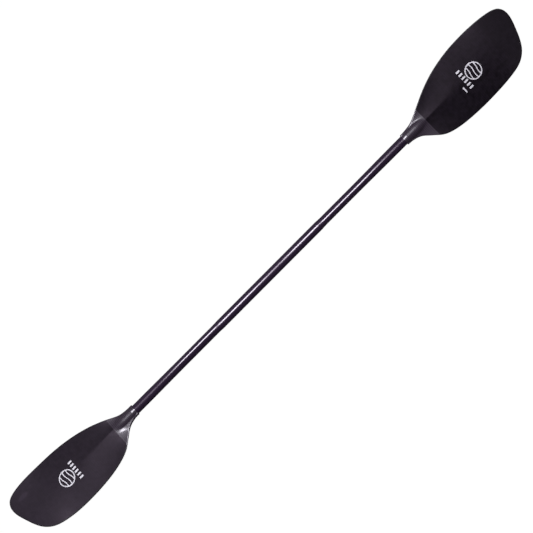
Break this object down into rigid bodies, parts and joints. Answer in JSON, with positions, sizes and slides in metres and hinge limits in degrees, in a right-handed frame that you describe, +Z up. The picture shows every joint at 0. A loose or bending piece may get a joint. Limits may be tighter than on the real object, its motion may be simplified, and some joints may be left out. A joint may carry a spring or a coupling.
{
  "type": "kayak paddle",
  "caption": "One-piece feathered kayak paddle: a carbon tube with an asymmetric spooned blade, ridged down its power face, on each end.",
  "frame": {"origin": "on the floor, under the middle of the shaft, at the bottom centre of the box", "axes": "+X along the shaft towards the right blade, +Y towards the blades' long edges, +Z up. The paddle lies at rest with its right blade on its back, so the shaft slopes down towards +X by 1.5 degrees"},
  "size_m": [1.9699, 0.1878, 0.0968],
  "materials": {
    "shaft_carbon": "clear gloss over wound carbon",
    "neck_carbon": "gloss over woven carbon",
    "blade_carbon": "satin woven carbon",
    "rim": "satin",
    "foam": "bare closed-cell foam",
    "print": "satin print"
  },
  "bodies": {
    "root": {"shaft_tube": "shaft_carbon", "left_neck": "neck_carbon", "left_power_face": "blade_carbon", "left_back_face": "blade_carbon", "left_foam_core": "foam", "left_edge_rim": "rim", "left_end_plug": "foam", "left_emblem": "print", "left_label": "print", "right_neck": "neck_carbon", "right_power_face": "blade_carbon", "right_back_face": "blade_carbon", "right_foam_core": "foam", "right_edge_rim": "rim", "right_end_plug": "foam", "right_emblem": "print", "right_label": "print", "right_bar": "print"}
  },
  "joints": []
}
